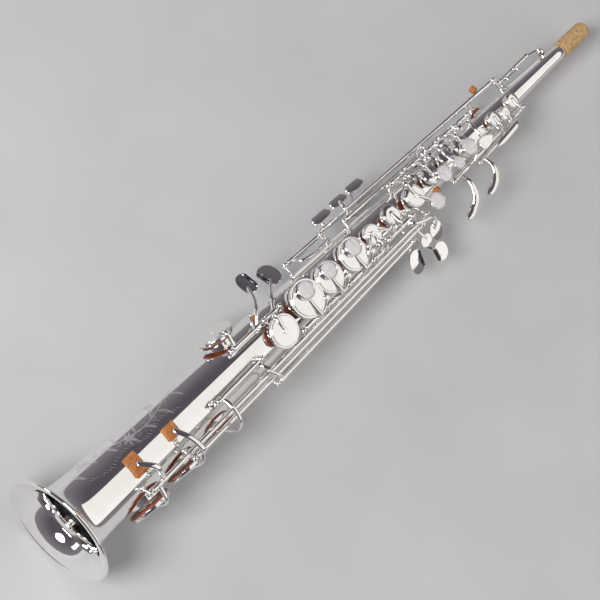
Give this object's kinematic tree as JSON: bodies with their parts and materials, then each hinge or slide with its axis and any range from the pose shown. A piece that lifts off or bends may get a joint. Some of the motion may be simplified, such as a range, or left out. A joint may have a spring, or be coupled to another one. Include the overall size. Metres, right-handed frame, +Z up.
{
  "type": "soprano saxophone",
  "caption": "Straight one-piece soprano saxophone in silver plate with open key work, lying on its back, without a mouthpiece.",
  "frame": {"origin": "on the surface the instrument lies on, under the middle of its bounding box", "axes": "+X along the tube from the bell to the mouthpiece cork, +Y to the player's right, +Z up, through the front of the instrument"},
  "size_m": [0.6612, 0.1024, 0.092],
  "materials": {
    "silver": "silver plated, mirror polished",
    "cork": "cork, matte",
    "leather": "reddish brown pad leather",
    "pearl": "mother-of-pearl"
  },
  "bodies": {
    "root": {"body_tube": "silver", "mouthpiece_cork": "cork", "low_bflat_bumper": "cork", "low_b_bumper": "cork", "thumb_hook": "silver", "thumb_rest": "silver", "strap_ring": "silver"},
    "low_bflat": {"low_bflat_key": "silver", "low_bflat_pad": "leather"},
    "low_b": {"low_b_key": "silver", "low_b_pad": "leather"},
    "low_csharp": {"low_csharp_key": "silver", "low_csharp_pad": "leather"},
    "low_csharp_lever": {"low_csharp_lever_key": "silver"},
    "low_c": {"low_c_key": "silver", "low_c_pad": "leather"},
    "low_eflat": {"low_eflat_key": "silver", "low_eflat_pad": "leather"},
    "d": {"d_key": "silver", "d_pad": "leather", "d_pearl": "pearl"},
    "e": {"e_key": "silver", "e_pad": "leather", "e_pearl": "pearl"},
    "f": {"f_key": "silver", "f_pad": "leather", "f_pearl": "pearl"},
    "fsharp": {"fsharp_key": "silver", "fsharp_pad": "leather"},
    "g_sharp": {"g_sharp_key": "silver", "g_sharp_pad": "leather"},
    "g": {"g_key": "silver", "g_pad": "leather", "g_pearl": "pearl"},
    "a": {"a_key": "silver", "a_pad": "leather", "a_pearl": "pearl"},
    "bis": {"bis_key": "silver", "bis_pearl": "pearl"},
    "b": {"b_key": "silver", "b_pad": "leather", "b_pearl": "pearl"},
    "front_f": {"front_f_key": "silver"},
    "palm_d": {"palm_d_key": "silver"},
    "palm_eflat": {"palm_eflat_key": "silver"},
    "palm_f": {"palm_f_key": "silver"},
    "high_e": {"high_e_key": "silver"},
    "side_c": {"side_c_key": "silver"},
    "side_bflat": {"side_bflat_key": "silver"},
    "high_fsharp_lever": {"high_fsharp_lever_key": "silver"},
    "octave_thumb": {"octave_thumb_key": "silver"},
    "body_octave": {"body_octave_key": "silver"},
    "neck_octave": {"neck_octave_key": "silver"}
  },
  "joints": [
    {"name": "low_bflat_hinge", "type": "hinge", "parent": "root", "child": "low_bflat", "pos_m": [-0.09498, -0.01777, 0.05427], "axis": [0.9982, 0.0155, -0.0586], "range_deg": [0, 8], "stiffness_Nm_per_rad": 0.12, "springref_deg": -17.19},
    {"name": "low_b_hinge", "type": "hinge", "parent": "root", "child": "low_b", "pos_m": [-0.07511, -0.02187, 0.04944], "axis": [0.9978, 0.0211, -0.0622], "range_deg": [0, 8], "stiffness_Nm_per_rad": 0.12, "springref_deg": -17.19},
    {"name": "low_csharp_hinge", "type": "hinge", "parent": "root", "child": "low_csharp", "pos_m": [-0.15473, -0.00687, 0.06379], "axis": [-0.9979, -0.0208, 0.0621], "range_deg": [0, 8], "stiffness_Nm_per_rad": 0.05, "springref_deg": -17.19},
    {"name": "low_csharp_lever_hinge", "type": "hinge", "parent": "root", "child": "low_csharp_lever", "pos_m": [-0.03625, -0.02577, 0.04407], "axis": [0.9963, 0.0287, -0.0804], "range_deg": [0, 8], "stiffness_Nm_per_rad": 0.12, "springref_deg": -17.19},
    {"name": "low_c_hinge", "type": "hinge", "parent": "root", "child": "low_c", "pos_m": [-0.12252, 0.01258, 0.06186], "axis": [-0.9978, 0.0031, 0.0657], "range_deg": [0, 9], "stiffness_Nm_per_rad": 0.05, "springref_deg": -17.19},
    {"name": "low_eflat_hinge", "type": "hinge", "parent": "root", "child": "low_eflat", "pos_m": [-0.09381, 0.01248, 0.05998], "axis": [-0.9977, 0.0077, 0.0672], "range_deg": [0, 8], "stiffness_Nm_per_rad": 0.05, "springref_deg": -17.19},
    {"name": "d_hinge", "type": "hinge", "parent": "root", "child": "d", "pos_m": [-0.06695, -0.01317, 0.05501], "axis": [-0.9982, -0.0167, 0.058], "range_deg": [0, 9], "stiffness_Nm_per_rad": 0.05, "springref_deg": -17.19},
    {"name": "e_hinge", "type": "hinge", "parent": "root", "child": "e", "pos_m": [-0.03798, -0.01272, 0.05332], "axis": [-0.9983, -0.0136, 0.0561], "range_deg": [0, 9], "stiffness_Nm_per_rad": 0.05, "springref_deg": -17.19},
    {"name": "f_hinge", "type": "hinge", "parent": "root", "child": "f", "pos_m": [-0.00852, -0.01227, 0.05162], "axis": [-0.9983, -0.016, 0.0568], "range_deg": [0, 9], "stiffness_Nm_per_rad": 0.05, "springref_deg": -17.19},
    {"name": "fsharp_hinge", "type": "hinge", "parent": "root", "child": "fsharp", "pos_m": [0.01545, -0.01187, 0.05023], "axis": [-0.9983, -0.0182, 0.0561], "range_deg": [0, 9], "stiffness_Nm_per_rad": 0.05, "springref_deg": -17.19},
    {"name": "g_sharp_hinge", "type": "hinge", "parent": "root", "child": "g_sharp", "pos_m": [0.04405, -0.00862, 0.05325], "axis": [0.9976, 0.0192, -0.0672], "range_deg": [0, 8], "stiffness_Nm_per_rad": 0.05, "springref_deg": -17.19},
    {"name": "g_hinge", "type": "hinge", "parent": "root", "child": "g", "pos_m": [0.07538, 0.02183, 0.0468], "axis": [0.9985, -0.0154, -0.0519], "range_deg": [0, 8], "stiffness_Nm_per_rad": 0.05, "springref_deg": -17.19},
    {"name": "a_hinge", "type": "hinge", "parent": "root", "child": "a", "pos_m": [0.09885, 0.02138, 0.04562], "axis": [0.9984, -0.015, -0.0538], "range_deg": [0, 8], "stiffness_Nm_per_rad": 0.05, "springref_deg": -17.19},
    {"name": "bis_hinge", "type": "hinge", "parent": "root", "child": "bis", "pos_m": [0.12133, 0.02093, 0.04452], "axis": [0.9987, -0.0182, -0.047], "range_deg": [0, 8], "stiffness_Nm_per_rad": 0.05, "springref_deg": -17.19},
    {"name": "b_hinge", "type": "hinge", "parent": "root", "child": "b", "pos_m": [0.14181, 0.02058, 0.04358], "axis": [0.9987, -0.0187, -0.0476], "range_deg": [0, 8], "stiffness_Nm_per_rad": 0.05, "springref_deg": -17.19},
    {"name": "front_f_hinge", "type": "hinge", "parent": "root", "child": "front_f", "pos_m": [0.16229, 0.02013, 0.04249], "axis": [0.9983, -0.0182, -0.0561], "range_deg": [0, 8], "stiffness_Nm_per_rad": 0.05, "springref_deg": -17.19},
    {"name": "palm_d_hinge", "type": "hinge", "parent": "root", "child": "palm_d", "pos_m": [0.15511, -0.01012, 0.03629], "axis": [0.9972, 0.0538, -0.0518], "range_deg": [0, 8], "stiffness_Nm_per_rad": 0.05, "springref_deg": -17.19},
    {"name": "palm_eflat_hinge", "type": "hinge", "parent": "root", "child": "palm_eflat", "pos_m": [0.17802, -0.01387, 0.03288], "axis": [0.9962, 0.0696, -0.052], "range_deg": [0, 8], "stiffness_Nm_per_rad": 0.05, "springref_deg": -17.19},
    {"name": "palm_f_hinge", "type": "hinge", "parent": "root", "child": "palm_f", "pos_m": [0.21163, -0.00752, 0.03616], "axis": [0.9967, 0.0499, -0.0644], "range_deg": [0, 8], "stiffness_Nm_per_rad": 0.05, "springref_deg": -17.19},
    {"name": "high_e_hinge", "type": "hinge", "parent": "root", "child": "high_e", "pos_m": [0.10954, 0.02938, 0.03461], "axis": [0.9991, -0.0298, -0.0311], "range_deg": [0, 8], "stiffness_Nm_per_rad": 0.12, "springref_deg": -17.19},
    {"name": "side_c_hinge", "type": "hinge", "parent": "root", "child": "side_c", "pos_m": [0.08667, 0.02358, 0.03932], "axis": [0.9987, -0.031, -0.0394], "range_deg": [0, 8], "stiffness_Nm_per_rad": 0.05, "springref_deg": -17.19},
    {"name": "side_bflat_hinge", "type": "hinge", "parent": "root", "child": "side_bflat", "pos_m": [0.08185, 0.02988, 0.0284], "axis": [0.9993, -0.0287, -0.0231], "range_deg": [0, 8], "stiffness_Nm_per_rad": 0.05, "springref_deg": -17.19},
    {"name": "high_fsharp_lever_hinge", "type": "hinge", "parent": "root", "child": "high_fsharp_lever", "pos_m": [-0.02775, 0.03153, 0.04382], "axis": [0.9979, -0.0324, -0.0558], "range_deg": [0, 6], "stiffness_Nm_per_rad": 0.05, "springref_deg": -17.19},
    {"name": "octave_thumb_hinge", "type": "hinge", "parent": "root", "child": "octave_thumb", "pos_m": [0.15407, -0.00262, 0.01757], "axis": [0.9999, 0.0156, 0.0024], "range_deg": [0, 6], "stiffness_Nm_per_rad": 0.05, "springref_deg": -17.19},
    {"name": "body_octave_hinge", "type": "hinge", "parent": "root", "child": "body_octave", "pos_m": [0.18408, -0.00217, 0.01775], "axis": [-0.9999, -0.0125, -0.0024], "range_deg": [0, 8], "stiffness_Nm_per_rad": 0.05, "springref_deg": -17.19},
    {"name": "neck_octave_hinge", "type": "hinge", "parent": "root", "child": "neck_octave", "pos_m": [0.24933, 0.02138, 0.02532], "axis": [-0.9995, -0.0132, 0.0289], "range_deg": [0, 8], "stiffness_Nm_per_rad": 0.05, "springref_deg": -17.19}
  ],
  "couplings": [
    {"joint": "fsharp_hinge", "follows": "f_hinge", "ratio": 1},
    {"joint": "low_csharp_hinge", "follows": "low_csharp_lever_hinge", "ratio": 1},
    {"joint": "neck_octave_hinge", "follows": "octave_thumb_hinge", "ratio": 1.333}
  ]
}
